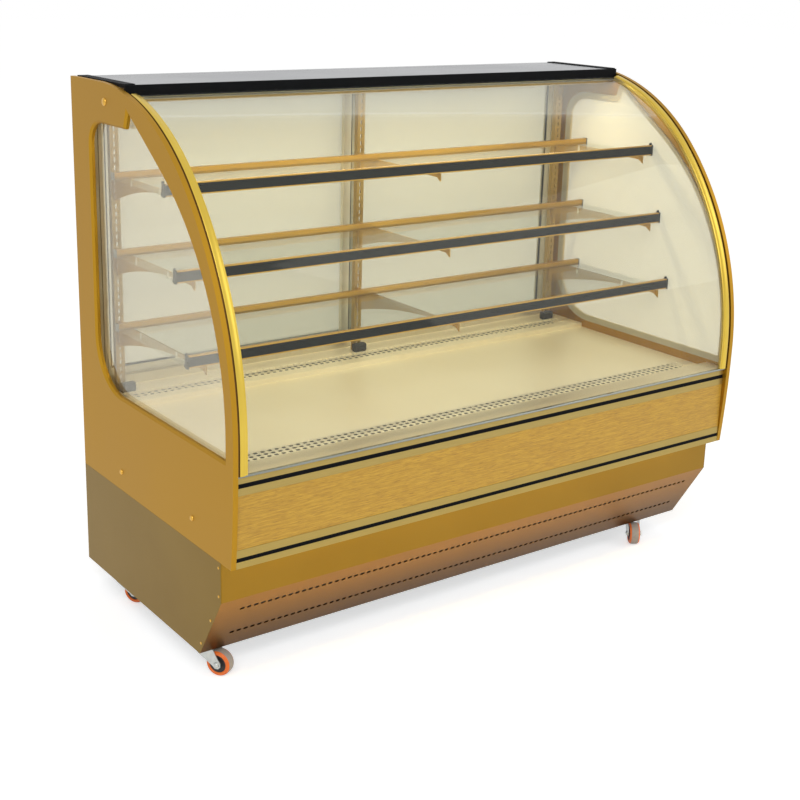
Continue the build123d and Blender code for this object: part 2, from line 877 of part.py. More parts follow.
def fin_pack(length, depth, height, fins, rows):
    """Coil block: parallel fins on straight tubes that end in two header plates."""
    pitch = (length - fin_thickness) / (fins - 1)
    body = None
    for i in range(fins):
        x = -length / 2 + i * pitch
        fin = block(x, x + fin_thickness, 0, depth, 0, height)
        body = fin if body is None else body + fin
    for i in range(rows):
        z = height * (i + 0.5) / rows
        reach = length / 2 + coil_tube_reach
        tube = block(-reach, reach, depth / 2 - tube_radius, depth / 2 + tube_radius,
                     z - tube_radius, z + tube_radius)
        body += tube
    return body


def condenser_coil():
    coil = fin_pack(condenser_width, condenser_depth, condenser_height, condenser_fins, condenser_tube_rows)
    return Pos(condenser_x, condenser_front, floor_pan_z + sheet) * coil


shroud_y = condenser_front + condenser_depth
condenser_mid_z = floor_pan_z + sheet + condenser_height / 2


def turned(shape, x, y, z):
    """A piece drawn on +Z, laid over so that it points to the rear."""
    return Pos(x, y, z) * Rot(-90, 0, 0) * shape


def fan_shroud():
    """Plate with a round mouth behind the condenser, and the motor on an arm across it."""
    half = condenser_width / 2
    plate = block(-half, half, 0, shroud_depth, -condenser_height / 2, condenser_height / 2)
    mouth = RegularPolygon(fan_radius + fan_ring_gap, mouth_sides, major_radius=False)
    plate -= Rot(90, 0, 0) * extrude(mouth, 3 * shroud_depth, both=True)
    arm = block(-half, half, shroud_depth, shroud_depth + arm_thickness, -arm_width / 2, arm_width / 2)
    motor = extrude(RegularPolygon(motor_radius, motor_sides), motor_length)
    motor = Pos(0, shroud_depth, 0) * Rot(-90, 0, 0) * motor
    shaft = Pos(0, shaft_front, 0) * Rot(-90, 0, 0) * post(shaft_radius, shroud_depth - shaft_front)
    return Pos(condenser_x, shroud_y, condenser_mid_z) * (plate + arm + motor + shaft)


def fan_wheel(radius, hub, depth):
    """Fan with pitched blades round a hub, bored for its shaft; it points along +Z."""
    body = extrude(RegularPolygon(hub, motor_sides), depth)
    for i in range(blade_count):
        root = hub - blade_root
        blade = block(root, radius, -depth * blade_chord / 2, depth * blade_chord / 2,
                      -blade_thickness / 2, blade_thickness / 2)
        blade = Pos(0, 0, depth / 2) * Rot(blade_pitch, 0, 0) * blade
        body += Rot(0, 0, 360 * i / blade_count) * blade
    return body - Cylinder(shaft_radius + pin_gap, 4 * depth)


fan_offset = 6.0
fan_inset = 12.0


def condenser_fan():
    wheel = fan_wheel(fan_radius, fan_hub_radius, fan_depth)
    return turned(wheel, condenser_x, shroud_y + fan_offset, condenser_mid_z)


well_floor_z = seam_z + well_floor
evaporator_mid_y = evaporator_y + evaporator_depth / 2
evaporator_fan_z = well_floor_z + evaporator_height / 2 + evaporator_fan_rise
evaporator_x = evaporator_fan_x + evaporator_coil_gap + evaporator_length / 2
fan_plate_x = evaporator_fan_x + evaporator_fan_gap


def evaporator_coil():
    """Finned coil in the well, and the fan's plate with its motor near the left end."""
    coil = fin_pack(evaporator_length, evaporator_depth, evaporator_height, evaporator_fins,
                    evaporator_tube_rows)
    coil = Pos(evaporator_x, evaporator_y, well_floor_z) * coil
    half = evaporator_fan_radius + fan_plate_margin
    height = evaporator_height + fan_plate_rise
    plate = block(fan_plate_x, fan_plate_x + arm_thickness, evaporator_mid_y - half, evaporator_mid_y + half,
                  well_floor_z, well_floor_z + height)
    motor = extrude(RegularPolygon(small_motor_radius, motor_sides), small_motor_length)
    motor += Pos(0, 0, -small_shaft_length) * post(shaft_radius, small_shaft_length + 1)
    return [coil, plate + Pos(fan_plate_x, evaporator_mid_y, evaporator_fan_z) * Rot(0, 90, 0) * motor]


def evaporator_fan():
    wheel = fan_wheel(evaporator_fan_radius - fan_ring_gap, small_hub_radius, small_fan_depth)
    return Pos(evaporator_fan_x + fan_inset, evaporator_mid_y, evaporator_fan_z) * Rot(0, 90, 0) * wheel


def drain_tray():
    """Open tray on the pan that takes the melt water."""
    outer = slab(drain_tray_length, drain_tray_width, drain_tray_height)
    inner = slab(drain_tray_length - 2 * tray_wall, drain_tray_width - 2 * tray_wall, drain_tray_height)
    return standing(outer - Pos(0, 0, tray_wall) * inner, drain_tray_x, drain_tray_y, floor_pan_z + sheet)


control_z1 = seam_z - frame_tube - control_box_top_drop
control_y1 = base_rear - sheet


def switch_cut(x, extra):
    """Block of a rocker switch seat, in the place of the control box."""
    z = control_z1 - control_box_height / 2
    middle = control_box_x + x
    wide = switch_width / 2 + extra
    high = switch_height / 2 + extra
    return block(middle - wide, middle + wide, control_y1 - switch_seat - extra, base_rear + 2,
                 z - high, z + high)


def controller():
    """Thermostat box behind the rear sheet, with a small display window."""
    z0 = control_z1 - control_box_height
    body = block(control_box_x - control_box_length / 2, control_box_x + control_box_length / 2,
                 control_y1 - control_box_depth, control_y1, z0, control_z1)
    for x in switch_x:
        body -= switch_cut(x, switch_gap)
    return body


def rocker(x):
    """Rocker key: a barrel in the seat with two shallow wings that stand a little proud."""
    z = control_z1 - control_box_height / 2
    y = base_rear
    half = switch_width / 2
    reach = switch_height / 2 - 1
    root = y - rocker_depth
    points = [(root, z - rocker_root), (y, z - reach), (y, z), (y - rocker_tip_drop, z + reach),
              (root, z + rocker_root)]
    return closed(points, control_box_x + x - half, control_box_x + x + half)


def inlet_gland():
    """Bush in the rear sheet where the mains lead goes in."""
    body = extrude(RegularPolygon(gland_radius, gland_sides), gland_length)
    body -= extrude(RegularPolygon(gland_radius / 2, gland_sides), 4 * gland_length, both=True)
    return turned(body, gland_x, base_rear - gland_length, seam_z - gland_drop)


def caster_places():
    """Swivel axes of the casters, by corner."""
    left = -half_length + caster_inset_left
    right = half_length - caster_inset_right
    return {"front_left": (left, caster_front_y), "front_right": (right, caster_front_y),
            "rear_left": (left, caster_rear_y), "rear_right": (right, caster_rear_y)}


fork_crown_z = 2 * wheel_radius + fork_top_gap
race_z = fork_crown_z + fork_sheet
plate_z = floor_pan_z - caster_plate_thickness


def caster_plate():
    """Fixed half of a caster: top plate, bearing race and the king pin that the fork turns on."""
    plate = Pos(0, 0, plate_z) * slab(caster_plate_side, caster_plate_side, caster_plate_thickness)
    race = extrude(RegularPolygon(race_radius, race_sides), plate_z - race_z - face_gap)
    race = Pos(0, 0, race_z + face_gap) * race
    pin_foot = fork_crown_z - king_pin_drop
    pin = Pos(0, 0, pin_foot) * post(king_pin_radius, race_z - pin_foot + 1)
    return plate + race + pin


fork_half = wheel_width / 2 + fork_side_gap


def caster_fork():
    """Turning half of a caster: pressed crown, two cheeks and the axle bolt.
    It is drawn with the wheel on the -Y side of the king pin."""
    outer = fork_half + fork_sheet
    crown = block(-outer, outer, -crown_reach, crown_rear, fork_crown_z, race_z)
    crown -= Cylinder(king_pin_radius + pin_gap, 4 * race_z)
    r = cheek_radius
    bevel = r * math.tan(math.pi / 8)
    points = [(crown_rear, race_z), (-crown_reach, race_z), (-caster_trail - r, wheel_radius + bevel),
              (-caster_trail - r, wheel_radius - bevel), (-caster_trail - bevel, wheel_radius - r),
              (-caster_trail + bevel, wheel_radius - r), (-caster_trail + r, wheel_radius - bevel),
              (crown_rear, fork_crown_z - cheek_root)]
    side = closed(points, fork_half, outer)
    axle = Pos(-outer, -caster_trail, wheel_radius) * Rot(0, 90, 0) * post(axle_radius, 2 * outer)
    fork = crown + side + mirrored(side) + axle
    for x in (outer, -outer):
        head = extrude(RegularPolygon(bolt_head_radius, 6), amount=bolt_head_height / 2, both=True)
        fork += Pos(x, -caster_trail, wheel_radius) * Rot(0, 90, 0) * head
    return fork


def caster_wheel():
    """Wheel with its tread moulded on, bored for the axle."""
    wheel = Cylinder(wheel_radius, wheel_width) - Cylinder(axle_radius + pin_gap, 2 * wheel_width)
    return Pos(0, -caster_trail, wheel_radius) * Rot(0, 90, 0) * wheel


def save(name, shape):
    """Slide a piece to the centred frame and write it as one node."""
    solids = []
    for piece in (shape if isinstance(shape, list) else [shape]):
        solids += (Pos(0, centre_shift, 0) * piece).solids()
    result = solids[0] if len(solids) == 1 else Compound(solids)
    export_step(result, f"parts/{name}.step")


os.makedirs("parts", exist_ok=True)

# Base cabinet and casters
save("base_frame", base_frame())
save("base_floor_pan", floor_pan())
save("base_side_panels", base_side_panels())
save("base_front_panel", base_front_panel())
save("base_rear_grille", base_rear_grille())
plates = []
for corner, (x, y) in caster_places().items():
    place = Pos(x, y, 0) * Rot(0, 0, caster_headings[corner])
    plates.append(Pos(x, y, 0) * caster_plate())
    save(f"caster_fork_{corner}", place * caster_fork())
    save(f"caster_wheel_{corner}", place * caster_wheel())
save("caster_plates", plates)

# Ends, glass and top
save("end_panel_left", end_panel())
save("end_panel_right", mirrored(end_panel()))
save("end_glasses", [side_glass(), mirrored(side_glass())])
save("glass_edge_profiles", [edge_profile(), mirrored(edge_profile())])
save("front_glass", front_glass())
save("glass_head_rail", head_rail())
save("top_panel", top_panel())
save("top_profile", top_profile())
save("led_strips", led_strips())
save("panel_bolts", panel_bolts())

# Front face
save("front_sill", front_sill())
save("front_strips", front_strips())
save("wood_panel", wood_panel())
save("lower_front_rail", lower_rail())

# Well, deck and shelves
save("insulated_well", insulated_well())
save("deck_pan", deck_pan())
save("front_air_grille", air_grille(deck_front + 2, deck_front + deck_front_run, deck_z + deck_thickness,
                                    grille_end_margin))
save("rear_air_grille", air_grille(deck_rear_start + 2, deck_rear - grille_rear_trim, ledge_z,
                                   rear_end_margin - rear_grille_lap))
save("shelf_uprights", uprights())
save("shelf_brackets", brackets())
save("shelf_front_rails", [shelf_front_rail(y, z) for y, z in zip(shelf_fronts, shelf_heights)])
save("shelf_rail_strips", [shelf_rail_strip(y, z) for y, z in zip(shelf_fronts, shelf_heights)])
save("shelf_rear_rails", [shelf_rear_rail(z) for z in shelf_heights])
save("shelf_glasses", [shelf_glass(y, z) for y, z in zip(shelf_fronts, shelf_heights)])
save("cable_sockets", cable_sockets())

# Rear doors
save("rear_door_frame", door_frame())
for side, name in ((-1, "left"), (1, "right")):
    save(f"door_{name}_frame", door_leaf(side))
    save(f"door_{name}_glass", door_glass(side))

# Cooling set and controls
save("compressor", cooling_compressor())
save("condenser_coil", condenser_coil())
save("condenser_fan_shroud", fan_shroud())
save("condenser_fan", condenser_fan())
save("evaporator_coil", evaporator_coil())
save("evaporator_fan", evaporator_fan())
save("drain_tray", drain_tray())
save("controller_box", controller())
save("power_switch", rocker(switch_x[0]))
save("light_switch", rocker(switch_x[1]))
save("inlet_gland", inlet_gland())
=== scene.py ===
import math

import bpy
import numpy as np

from mathutils import Matrix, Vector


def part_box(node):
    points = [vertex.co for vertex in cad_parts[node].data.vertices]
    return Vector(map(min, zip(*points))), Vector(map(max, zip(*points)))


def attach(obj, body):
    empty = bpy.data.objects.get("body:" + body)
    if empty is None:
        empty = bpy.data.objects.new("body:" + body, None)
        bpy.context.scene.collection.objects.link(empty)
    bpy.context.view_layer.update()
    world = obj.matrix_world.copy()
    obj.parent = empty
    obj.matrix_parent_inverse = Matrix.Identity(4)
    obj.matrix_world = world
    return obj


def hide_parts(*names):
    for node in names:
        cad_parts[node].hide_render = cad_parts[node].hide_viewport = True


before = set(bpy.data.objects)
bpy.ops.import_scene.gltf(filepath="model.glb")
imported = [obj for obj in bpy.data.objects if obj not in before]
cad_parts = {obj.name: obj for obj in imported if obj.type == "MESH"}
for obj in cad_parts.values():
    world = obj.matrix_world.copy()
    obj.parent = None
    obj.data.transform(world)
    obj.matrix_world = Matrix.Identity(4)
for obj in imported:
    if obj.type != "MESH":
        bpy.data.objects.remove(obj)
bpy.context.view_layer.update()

# Base cabinet: side sheets, folded slotted front and louvred rear. They are 1.5 mm brass coloured
# sheet, brushed along the fold, lacquered, and screwed to the frame along their front edges.


class Field:
    """A number that changes over a surface. Arithmetic on it adds Math nodes."""

    def __init__(self, nodes, socket):
        self.nodes = nodes
        self.socket = socket

    def maths(self, operation, *values):
        return self.nodes.node("Math", {"operation": operation}, dict(enumerate(values)))

    def __add__(self, other):
        return self.maths("ADD", self, other)

    def __radd__(self, other):
        return self.maths("ADD", other, self)

    def __sub__(self, other):
        return self.maths("SUBTRACT", self, other)

    def __rsub__(self, other):
        return self.maths("SUBTRACT", other, self)

    def __mul__(self, other):
        return self.maths("MULTIPLY", self, other)

    def __rmul__(self, other):
        return self.maths("MULTIPLY", other, self)

    def __gt__(self, other):
        return self.maths("GREATER_THAN", self, other)

    def __lt__(self, other):
        return self.maths("LESS_THAN", self, other)

    def __mod__(self, other):
        return self.maths("FLOORED_MODULO", self, other)

    def __abs__(self):
        return self.maths("ABSOLUTE", self)

    def clamp(self):
        """The same number, held between 0 and 1."""
        return self.nodes.node("Clamp", {}, {"Value": self})

    def step(self, low, high):
        """0 below low, 1 above high, and a smooth rise between them."""
        limits = {"Value": self, "From Min": low, "From Max": high}
        return self.nodes.node("MapRange", {"interpolation_type": "SMOOTHSTEP"}, limits)


class Nodes:
    """A tree of shader nodes, built up from nothing."""

    def __init__(self, tree):
        self.tree = tree
        self.tree.nodes.clear()

    def node(self, kind, settings, sockets, output=0):
        """Any node: its type, its settings, the values or links of its sockets and the output wanted."""
        made = self.tree.nodes.new("ShaderNode" + kind)
        for name, value in settings.items():
            setattr(made, name, value)
        for name, value in sockets.items():
            if isinstance(value, Field):
                self.tree.links.new(value.socket, made.inputs[name])
            else:
                made.inputs[name].default_value = value
        return Field(self, made.outputs[output]) if made.outputs else None


class Finish(Nodes):
    """A material under construction: its node tree, its coordinates and its shader."""

    def __init__(self, name):
        self.material = bpy.data.materials.new(name)
        self.material.use_nodes = True
        super().__init__(self.material.node_tree)
        self.point = self.node("TexCoord", {}, {}, "Object")

    def axis(self, letter):
        """One of the three object coordinates, in metres."""
        return self.node("SeparateXYZ", {}, {"Vector": self.point}, letter)

    def noise(self, size, detail=3.0, roughness=0.5, stretch=(1.0, 1.0, 1.0), shift=0.0):
        """Noise of a size in metres, from 0 to 1, drawn out along the axes by stretch."""
        scale = [1.0 / (size * s) for s in stretch]
        place = (shift, shift * 1.7, shift * 0.6)
        vector = self.node("Mapping", {}, {"Vector": self.point, "Scale": scale, "Location": place})
        sockets = {"Vector": vector, "Scale": 1.0, "Detail": detail, "Roughness": roughness}
        return self.node("TexNoise", {}, sockets)

    def brushing(self, stretch):
        """The fine lines of brushed metal, 0.6 mm apart, drawn out along the axes by stretch."""
        return self.noise(0.0006, 2.0, 0.6, stretch)

    def blend(self, share, low, high):
        """A colour between two others, by a number from 0 to 1."""
        return self.node("Mix", {"data_type": "RGBA"}, {0: share, 6: low, 7: high}, 2)

    def shade(self, colour, roughness, metal, height, depth, **others):
        """The Principled shader with the colour, roughness and relief of this finish, sent to the output."""
        relief = self.node("Bump", {}, {"Height": height, "Distance": depth, "Strength": 1.0})
        sockets = {"Base Color": colour, "Roughness": roughness, "Metallic": metal, "Normal": relief}
        for name, value in others.items():
            sockets[name.replace("_", " ").title().replace("Ior", "IOR")] = value
        return self.show(self.node("BsdfPrincipled", {}, sockets))

    def show(self, shader):
        self.node("OutputMaterial", {}, {"Surface": shader})
        return self.material


def colour(red, green, blue):
    """A screen colour, 0 to 255 a channel, as the linear colour that a shader takes."""
    shares = [value / 255.0 for value in (red, green, blue)]
    linear = [s / 12.92 if s <= 0.04045 else ((s + 0.055) / 1.055) ** 2.4 for s in shares]
    return (*linear, 1.0)


def brushed(name, tint, deep, roughness, stretch, metal=1.0):
    """Sheet metal with fine lines drawn out along one axis and a slow cloudy change of tone."""
    finish = Finish(name)
    lines = finish.brushing(stretch)
    cloud = finish.noise(0.22, 2.0, 0.5, shift=3.0)
    share = (lines * 0.5 + cloud * 0.7 - 0.1).clamp()
    mixed = finish.blend(share, deep, tint)
    return finish.shade(mixed, lines * 0.14 + roughness, metal, lines, 0.00005)


def dress(node, finish):
    """Give a CAD node a finish in every slot."""
    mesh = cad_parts[node].data
    mesh.materials.clear()
    mesh.materials.append(finish)


# Sizes are in millimetres, with y = 0 on the flat front face. The slide brings a point into the frame.
metres = 0.001
half_length = 750.0
case_depth = 734.0
case_height = 1268.0
belly = 12.0
seam = 320.0
gap = 0.3
sheet = 1.5
slide = np.array((0.0, (belly - case_depth) / 2, 0.0))


def solid(rings, wrap=False):
    """Closed skin through a stack of rings: point j of ring i joins point j + 1 and ring i + 1 in a quad.
    The end rings are capped, or joined to each other when wrap is set. A skin that encloses a negative
    volume is turned outwards."""
    count, size = rings.shape[:2]
    i, j = np.meshgrid(np.arange(count if wrap else count - 1), np.arange(size), indexing="ij")
    near, far, after = i * size, (i + 1) % count * size, (j + 1) % size
    quads = np.stack([near + j, near + after, far + after, far + j], -1).reshape(-1, 4)
    points = rings.reshape(-1, 3)
    fan = np.stack([np.zeros(size - 2, int), np.arange(1, size - 1), np.arange(2, size)], -1)
    groups, triangles = [quads], [quads[:, :3], quads[:, [0, 2, 3]]]
    if not wrap:
        last = (count - 1) * size
        groups.append(np.stack([np.arange(size)[::-1], np.arange(size) + last]))
        triangles += [fan[:, ::-1], fan + last]
    a, b, c = points[np.concatenate(triangles)].transpose(1, 0, 2)
    if np.einsum("ij,ij", a, np.cross(b, c)) < 0:
        groups = [group[:, ::-1] for group in groups]
    return points, groups


def bar(profile, x0, x1):
    """A profile of (y, z) points carried straight along x."""
    outline = np.array(profile, float)
    ends = np.repeat(np.array([x0, x1], float)[:, None, None], len(outline), 1)
    return solid(np.concatenate([ends, np.repeat(outline[None], 2, 0)], 2))


def box(x0, x1, y0, y1, z0, z1):
    """A straight sided block."""
    return bar([(y0, z0), (y0, z1), (y1, z1), (y1, z0)], x0, x1)


def repeated(part, shifts):
    """Copies of a part, one at each shift."""
    points, groups = part
    shifts = np.array(shifts, float)
    steps = (np.arange(len(shifts)) * len(points))[:, None, None]
    copies = (points[None] + shifts[:, None]).reshape(-1, 3)
    return copies, [(group[None] + steps).reshape(-1, group.shape[1]) for group in groups]


def holed(across, along, half_across, half_along, thickness):
    """One cell of a perforated sheet. The hole is |u / a| ** 3 + |v / b| ** 3 = 1 on twelve points, and
    the cell's rim has a point at each corner and two on each side, at a third of its length."""
    angle = np.radians(np.arange(12) * 30.0 + 15.0)
    hole = np.stack([np.sign(np.cos(angle)) * np.abs(np.cos(angle)) ** (2 / 3) * half_across,
                     np.sign(np.sin(angle)) * np.abs(np.sin(angle)) ** (2 / 3) * half_along], -1)
    rim = np.array([(3, 1), (3, 3), (1, 3), (-1, 3), (-3, 3), (-3, 1),
                    (-3, -1), (-3, -3), (-1, -3), (1, -3), (3, -3), (3, -1)]) * (across / 6, along / 6)
    layers = [(rim, thickness), (hole, thickness), (hole, 0.0), (rim, 0.0)]
    rings = [np.concatenate([flat, np.full((12, 1), height)], 1) for flat, height in layers]
    return solid(np.stack(rings), wrap=True)


def new_object(name, data):
    """A new object of the scene, with its mesh, lamp or lens."""
    made = bpy.data.objects.new(name, data)
    bpy.context.scene.collection.objects.link(made)
    return made


def piece(name, parts, finishes, body="case", stands_for=()):
    """Joins parts into one mesh that rides on a body. The parts take the finishes in their order, and
    those that are left take the last one."""
    mesh = bpy.data.meshes.new(name)
    points, faces, picks, start = [], [], [], 0
    for number, (corners, groups) in enumerate(parts):
        points.append(corners)
        for group in groups:
            faces += (group + start).tolist()
            picks += [min(number, len(finishes) - 1)] * len(group)
        start += len(corners)
    placed = (np.concatenate(points) + slide) * metres
    mesh.from_pydata(placed.tolist(), [], faces)
    for finish in finishes:
        mesh.materials.append(finish)
    mesh.polygons.foreach_set("material_index", picks)
    mesh.polygons.foreach_set("use_smooth", [True] * len(faces))
    mesh.set_sharp_from_angle(angle=math.radians(38.0))
    made = new_object(name, mesh)
    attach(made, body)
    if stands_for:
        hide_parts(*stands_for)


fold = np.array((45.0, 227.0))
foot = np.array((142.7, 66.0))
mitre = 0.8
lip = 6.0
sheet_end = half_length - sheet - gap
slope_length = float(np.linalg.norm(foot - fold))
down = (foot - fold) / slope_length
inward = np.array((-down[1], down[0]))
slot_pitch = 17.5
slots = 80
slot_half_width, slot_half_height = 5.8, 4.1
slot_rows = (44.0, 134.0)
row_height = 16.0
slot_shift = 6.0


def front_sheet_finish():
    """Brushed brass sheet, lighter on the upright part than on the slope under the fold, and darker down
    the slope to its foot. This is painted shade, as the slope faces down to the floor.
    """
    finish = Finish("front_brass")
    height = finish.axis("Z")
    lines = finish.brushing((60.0, 1.0, 1.0))
    cloud = finish.noise(0.25, 2.0, 0.5, shift=3.0)
    upright = finish.blend(cloud, colour(138, 104, 36), colour(152, 118, 44))
    # Painted shade: the slope darkens from the fold down to its foot, which faces the floor.
    foot_shade = finish.blend(cloud, colour(80, 52, 12), colour(90, 60, 16))
    slope = finish.blend(height.step(0.04, 0.25), foot_shade, colour(148, 100, 24))
    at_fold = height.step((fold[1] - sheet) * metres, (fold[1] + sheet) * metres)
    return finish.shade(finish.blend(at_fold, slope, upright), lines * 0.12 + 0.34, 1.0, lines, 0.00004)


def on_slope(part):
    """Lays a part on the slope: x stays, its second axis runs down the sheet and its third into it."""
    points, groups = part
    flat = fold + points[:, 1:2] * down + points[:, 2:3] * inward
    return np.concatenate([points[:, :1], flat], 1), groups


side_brass = brushed("side_brass", colour(134, 108, 40), colour(118, 92, 28), 0.34, (1.0, 60.0, 1.0))
rear_brass = brushed("rear_brass", colour(134, 108, 40), colour(118, 92, 28), 0.34, (60.0, 1.0, 1.0))
front_brass = front_sheet_finish()
dress("base_rear_grille", rear_brass)
dress("base_side_panels", side_brass)
fold_y, fold_z = fold
upright_part = [(fold_y, fold_z), (fold_y, seam), (fold_y + sheet, seam), (fold_y + sheet, fold_z + mitre)]
front_parts = [bar(upright_part, -sheet_end, sheet_end)]
breaks = [0.0, slope_length]
for row in slot_rows:
    breaks += [row - row_height / 2, row + row_height / 2]
breaks.sort()
for low, high in zip(breaks[::2], breaks[1::2]):
    front_parts.append(on_slope(box(-sheet_end, sheet_end, low, high, 0.0, sheet)))
one_slot = holed(slot_pitch, row_height, slot_half_width, slot_half_height, sheet)
slotted = slots * slot_pitch / 2
for row in slot_rows:
    top, bottom = row - row_height / 2, row + row_height / 2
    places = [((i - (slots - 1) / 2) * slot_pitch + slot_shift, row, 0.0) for i in range(slots)]
    front_parts.append(on_slope(repeated(one_slot, places)))
    front_parts.append(on_slope(box(-sheet_end, slot_shift - slotted, top, bottom, 0.0, sheet)))
    front_parts.append(on_slope(box(slot_shift + slotted, sheet_end, top, bottom, 0.0, sheet)))
front_parts.append(box(-sheet_end, sheet_end, foot[0], foot[0] + lip, foot[1], foot[1] + sheet))
piece("base_front_sheet", front_parts, [front_brass], stands_for=("base_front_panel",))

# Dome screws down the front edge of both side sheets: small brass plated heads that hold the sheets
# to the frame.


def lathe(profile, centre, axis, sides=24, wrap=False):
    """A profile of (along, radius) points turned round a level axis: p = c + a t + r (u cos s + v sin s)."""
    axis = np.array(axis, float)
    u = np.cross(axis, (0.0, 0.0, 1.0))
    v = np.cross(axis, u)
    s = np.linspace(0.0, 2 * np.pi, sides, endpoint=False)
    spokes = np.cos(s)[:, None] * u + np.sin(s)[:, None] * v
    along, radius = np.array(profile, float).T
    rings = np.array(centre, float) + along[:, None, None] * axis + radius[:, None, None] * spokes
    return solid(rings, wrap)


def dome(place, side, radius, height, sunk=0.4, skirt=0.3):
    """A dome head: a short skirt, then the quarter circle r = R cos a, t = H sin a, up to a small flat."""
    a = np.radians((0.0, 18.0, 36.0, 52.0, 66.0, 80.0))
    along = np.concatenate([[-sunk], skirt + (height - skirt) * np.sin(a)])
    spread = np.concatenate([[radius], radius * np.cos(a)])
    return lathe(np.stack([along, spread], -1), place, (side, 0.0, 0.0))


def sheen(name, tint, deep, roughness, metal=0.0, cloud_size=0.03, depth=0.0001, **others):
    """Painted, moulded or plated surface: a slow change of tone and a fine skin."""
    finish = Finish(name)
    cloud = finish.noise(cloud_size, 3.0, 0.5)
    skin = finish.noise(0.0012, 2.0, 0.6, shift=1.0)
    mixed = finish.blend(cloud, deep, tint)
    return finish.shade(mixed, cloud * 0.12 + skin * 0.08 + roughness, metal, skin, depth, **others)


bolt_brass = sheen("bolt_brass", colour(222, 176, 84), colour(196, 150, 62), 0.18, 1.0)
screw_places = [(54.0, 306.0), (54.0, 240.0), (91.6, 167.6), (136.3, 94.0)]
screw_radius, screw_rise = 3.2, 1.4
screws = [dome((side * half_length, y, z), side, screw_radius, screw_rise)
          for side in (-1, 1) for y, z in screw_places]
piece("side_sheet_screws", screws, [bolt_brass])

# Frame, floor pan and drain tray: black enamelled square tube and galvanised sheet, hidden but for
# what shows through the louvres and from below.

black_enamel = sheen("black_enamel", colour(46, 46, 48), colour(28, 28, 30), 0.4)
galvanised = sheen("galvanised", colour(176, 180, 182), colour(140, 144, 148), 0.38, 0.9, 0.012)
dress("base_frame", black_enamel)
dress("base_floor_pan", galvanised)
dress("drain_tray", galvanised)

# Casters: orange polyurethane tread with a worn grey running band on a black nylon wheel, in a zinc
# plated pressed fork that swivels under a small top plate.

zinc = sheen("zinc_plate", colour(206, 208, 204), colour(168, 172, 170), 0.25, 1.0, 0.01)
nylon = sheen("black_nylon", colour(40, 38, 38), colour(22, 21, 21), 0.45)
orange = sheen("orange_tread", colour(246, 128, 44), colour(226, 98, 26), 0.34, 0.0, 0.015)
running_band = sheen("running_band", colour(176, 166, 154), colour(150, 140, 130), 0.5, 0.0, 0.006)
axle_height = 30.0
trail = 30.0
wheel_places = {"front_left": (-714.0, 170.0, 31.0), "front_right": (620.0, 170.0, 324.0),
                "rear_left": (-714.0, 592.0, 31.0), "rear_right": (620.0, 592.0, 70.0)}

# Profiles of half a wheel, as distance from its middle and radius, and of one axle nut.
hub_half = [(0.0, 20.4), (12.0, 20.4), (12.6, 18.6), (11.6, 17.4),
            (11.0, 11.0), (14.0, 9.6), (14.4, 8.2), (14.4, 4.3)]
shoulder = [(12.2, 20.5), (13.6, 21.6), (14.0, 23.4), (13.4, 26.0), (11.8, 28.0), (9.6, 29.2), (9.4, 29.1)]
band_outside = [(9.55, 29.25), (7.0, 29.75), (3.5, 29.95)]
band_inside = [(9.0, 28.6)]
nut_profile = [(17.0, 6.4), (19.6, 6.2), (21.4, 4.6), (22.2, 0.8)]


def other_half(half):
    """The other half of a wheel's profile, read back towards its start."""
    return [(-along, radius) for along, radius in half[::-1]]


dress("caster_plates", zinc)
for corner, (x, y, heading) in wheel_places.items():
    turned = math.radians(heading)
    axle = (math.cos(turned), math.sin(turned), 0.0)
    hub_at = (x + trail * math.sin(turned), y - trail * math.cos(turned), axle_height)
    hub = lathe(hub_half + other_half(hub_half[1:]), hub_at, axle, 40, wrap=True)
    tyre = lathe(shoulder + other_half(shoulder), hub_at, axle, 56, wrap=True)
    band_loop = band_outside + other_half(band_inside + band_outside) + band_inside
    worn = lathe(band_loop, hub_at, axle, 56, wrap=True)
    nuts = [lathe([(side * along, radius) for along, radius in nut_profile], hub_at, axle, 16)
            for side in (-1.0, 1.0)]
    piece(f"wheel_{corner}_tread", [hub, tyre, worn], [nylon, orange, running_band],
          f"wheel_{corner}", (f"caster_wheel_{corner}",))
    dress(f"caster_fork_{corner}", zinc)
    piece(f"fork_{corner}_nuts", nuts, [zinc], f"fork_{corner}")

# End panels: 12 mm plates in satin gold lacquer, with a window cut out and bevelled. Dome bolts in
# bright brass hold them to the frame.

end_thickness = 12.0
panel_gap = 0.5
between = half_length - end_thickness - panel_gap
gold_lacquer = sheen("gold_lacquer", colour(178, 136, 40), colour(166, 124, 30), 0.4, 0.95, 0.4, 0.00003)
dress("end_panel_left", gold_lacquer)
dress("end_panel_right", gold_lacquer)
bolt_places = [(554.0, 1225.6, 9.5), (522.0, 366.4, 6.6), (170.0, 376.9, 6.6)]
bolt_rise = 3.9
bolts = [dome((side * half_length, y, z), side, radius, bolt_rise)
         for side in (-1, 1) for y, z, radius in bolt_places]
piece("panel_bolt_domes", bolts, [bolt_brass], stands_for=("panel_bolts",))

# Front face: satin champagne extrusions above and below a board of light oak, each with a ribbed
# black strip pressed into its groove, and a grey bead under the edge of the glass.

sill_top = 527.0
strip_end = between - 1.0
grooves = ((507.6, 10.0), (344.0, 9.0))
groove_gap = 0.1
crest, shaved, valley, back_face = 0.3, 0.6, 1.5, 2.0
rounded = 0.8
flank = 0.5
crest_share = 0.36
champagne = brushed("champagne", colour(178, 156, 92), colour(152, 130, 66), 0.28, (80.0, 1.0, 1.0), 0.85)
black_trim = sheen("black_trim", colour(20, 21, 23), colour(10, 11, 12), 0.5, specular_ior_level=0.06)
grey_bead = brushed("grey_bead", colour(150, 154, 150), colour(112, 116, 114), 0.25, (80.0, 1.0, 1.0))


